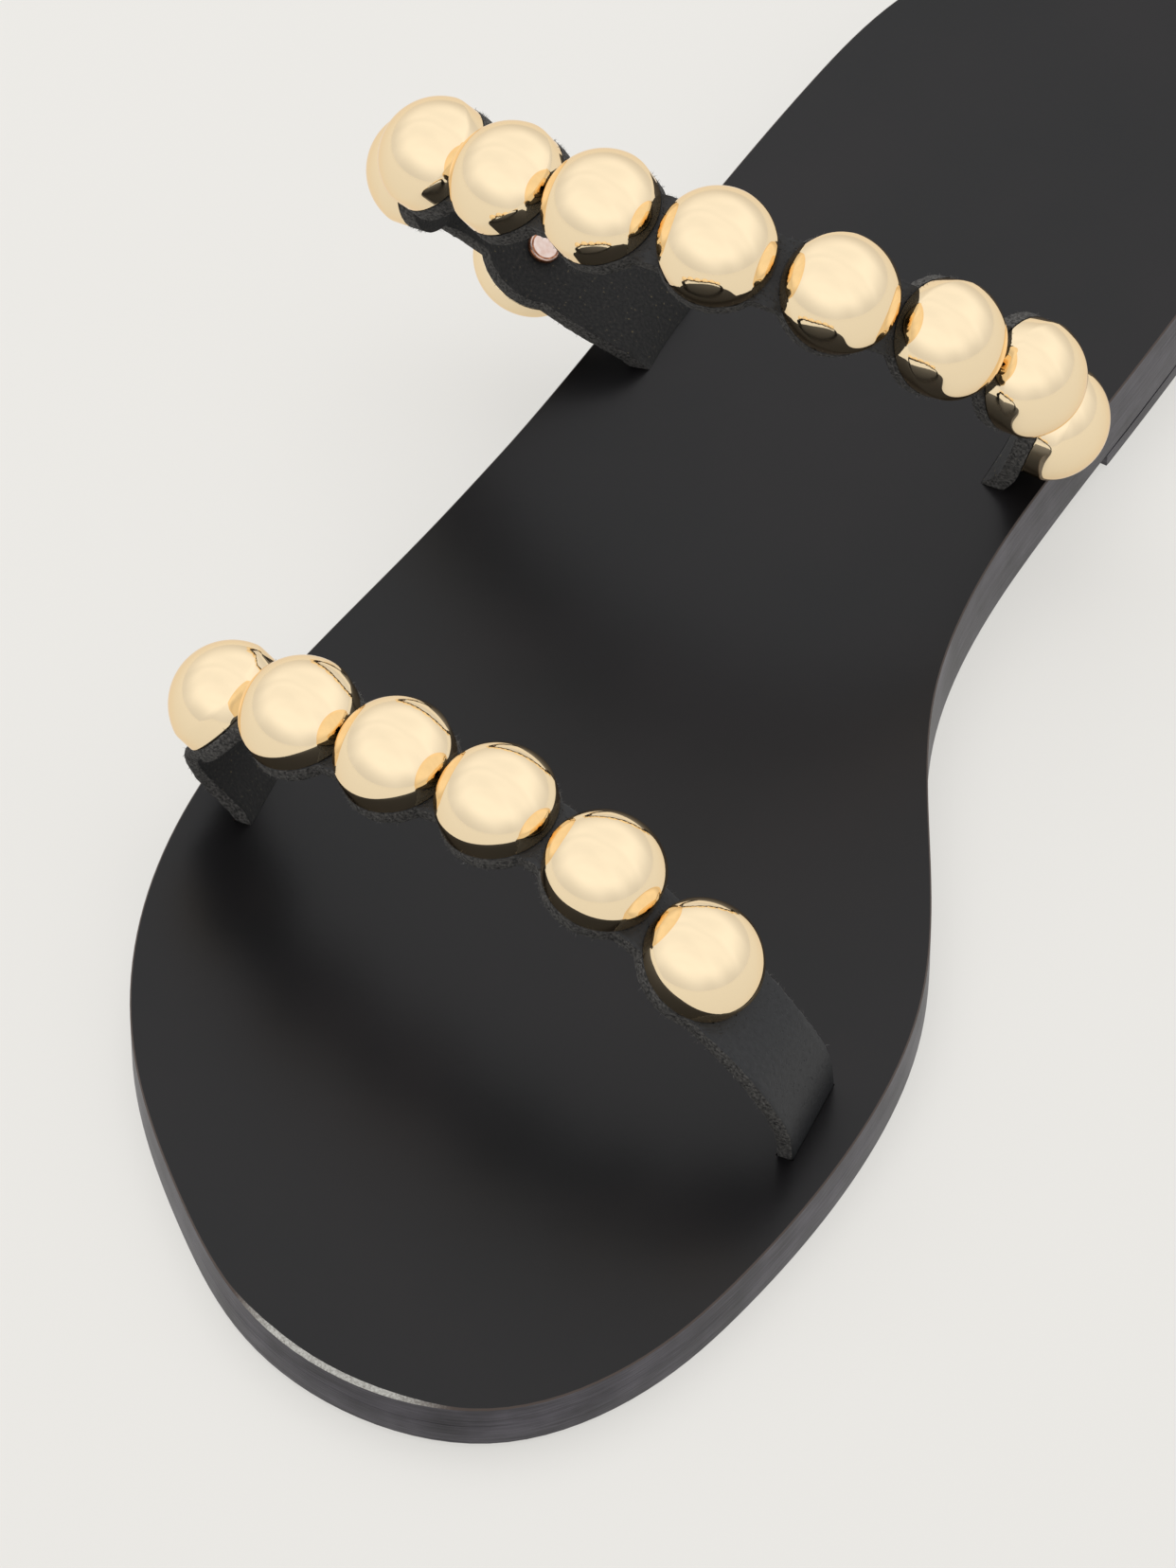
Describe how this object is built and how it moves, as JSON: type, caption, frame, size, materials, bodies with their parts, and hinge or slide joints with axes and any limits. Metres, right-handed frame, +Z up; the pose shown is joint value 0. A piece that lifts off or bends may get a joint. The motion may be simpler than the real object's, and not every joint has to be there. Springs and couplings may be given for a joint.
{
  "type": "studded flat slide sandal",
  "caption": "Flat open leather slide sandal for the right foot: a thin layered sole with a low heel lift, and narrow straps edged round rows of polished domed metal studs.",
  "frame": {"origin": "centre of the footprint of the whole sandal, on the ground", "axes": "+Y from toe to heel, +X towards the inner side of the right foot, +Z up"},
  "size_m": [0.1137, 0.2392, 0.0626],
  "materials": {
    "footbed_leather": "smooth satin black",
    "sole_edge_leather": "burnished dark grey edge",
    "strap_leather": "fine grained dark grey with raw cut edges",
    "polished_gold": "mirror polished pale gold",
    "copper_rivet": "satin copper"
  },
  "bodies": {
    "root": {"insole": "footbed_leather", "outsole": "sole_edge_leather", "heel_lift": "sole_edge_leather", "front_strap": "strap_leather", "rear_strap": "strap_leather", "front_dome_1": "polished_gold", "front_dome_2": "polished_gold", "front_dome_3": "polished_gold", "front_dome_4": "polished_gold", "front_dome_5": "polished_gold", "front_dome_6": "polished_gold", "rear_dome_1": "polished_gold", "rear_dome_2": "polished_gold", "rear_dome_3": "polished_gold", "rear_dome_4": "polished_gold", "rear_dome_5": "polished_gold", "rear_dome_6": "polished_gold", "rear_dome_7": "polished_gold", "rear_dome_8": "polished_gold", "rear_dome_9": "polished_gold", "rear_dome_10": "polished_gold", "front_rivet_1": "copper_rivet", "front_rivet_2": "copper_rivet", "front_rivet_3": "copper_rivet", "front_rivet_4": "copper_rivet", "front_rivet_5": "copper_rivet", "front_rivet_6": "copper_rivet", "rear_rivet_1": "copper_rivet", "rear_rivet_2": "copper_rivet", "rear_rivet_3": "copper_rivet", "rear_rivet_4": "copper_rivet", "rear_rivet_5": "copper_rivet", "rear_rivet_6": "copper_rivet", "rear_rivet_7": "copper_rivet", "rear_rivet_8": "copper_rivet", "rear_rivet_9": "copper_rivet", "rear_rivet_10": "copper_rivet"}
  },
  "joints": []
}
